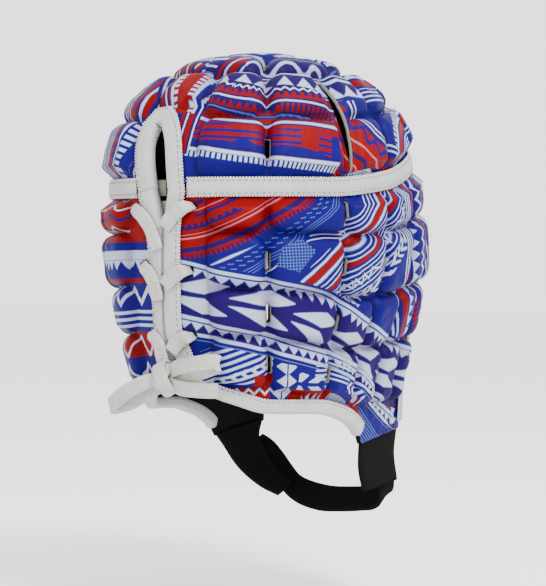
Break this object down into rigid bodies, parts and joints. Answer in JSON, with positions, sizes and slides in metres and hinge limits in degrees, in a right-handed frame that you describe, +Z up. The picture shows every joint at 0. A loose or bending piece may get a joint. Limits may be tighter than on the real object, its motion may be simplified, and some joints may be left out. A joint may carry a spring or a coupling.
{
  "type": "rugby scrum cap",
  "caption": "Padded fabric scrum cap with quilted blocks, laced back slit, vents, ear flaps and a chin strap, worn on the head to soften knocks",
  "frame": {"origin": "middle of the head at the level of the seam band, where a head holds the cap up", "axes": "+Z up; the wearer looks along -Y, so the laced slit is at +Y; the wearer's right is -X"},
  "size_m": [0.1842, 0.2166, 0.2837],
  "materials": {
    "printed_cloth": "stretch knit over foam, printed in blue, indigo, red and pale blue-white",
    "white_tape": "woven white edge tape with a stitched picot edge",
    "lace": "flat woven cotton lace, warm white",
    "black_webbing": "black hook-and-loop webbing with a short pile"
  },
  "bodies": {
    "root": {"side_shell": "printed_cloth", "crown_shell": "printed_cloth", "seam_band": "white_tape", "slit_binding": "white_tape", "right_rim_binding": "white_tape", "left_rim_binding": "white_tape", "face_binding": "white_tape", "lace_right_1": "lace", "lace_right_2": "lace", "lace_right_3": "lace", "lace_left_1": "lace", "lace_left_2": "lace", "lace_left_3": "lace", "lace_bow": "lace", "left_strap_tab": "black_webbing", "right_strap_tab": "black_webbing", "chin_strap": "black_webbing"}
  },
  "joints": []
}
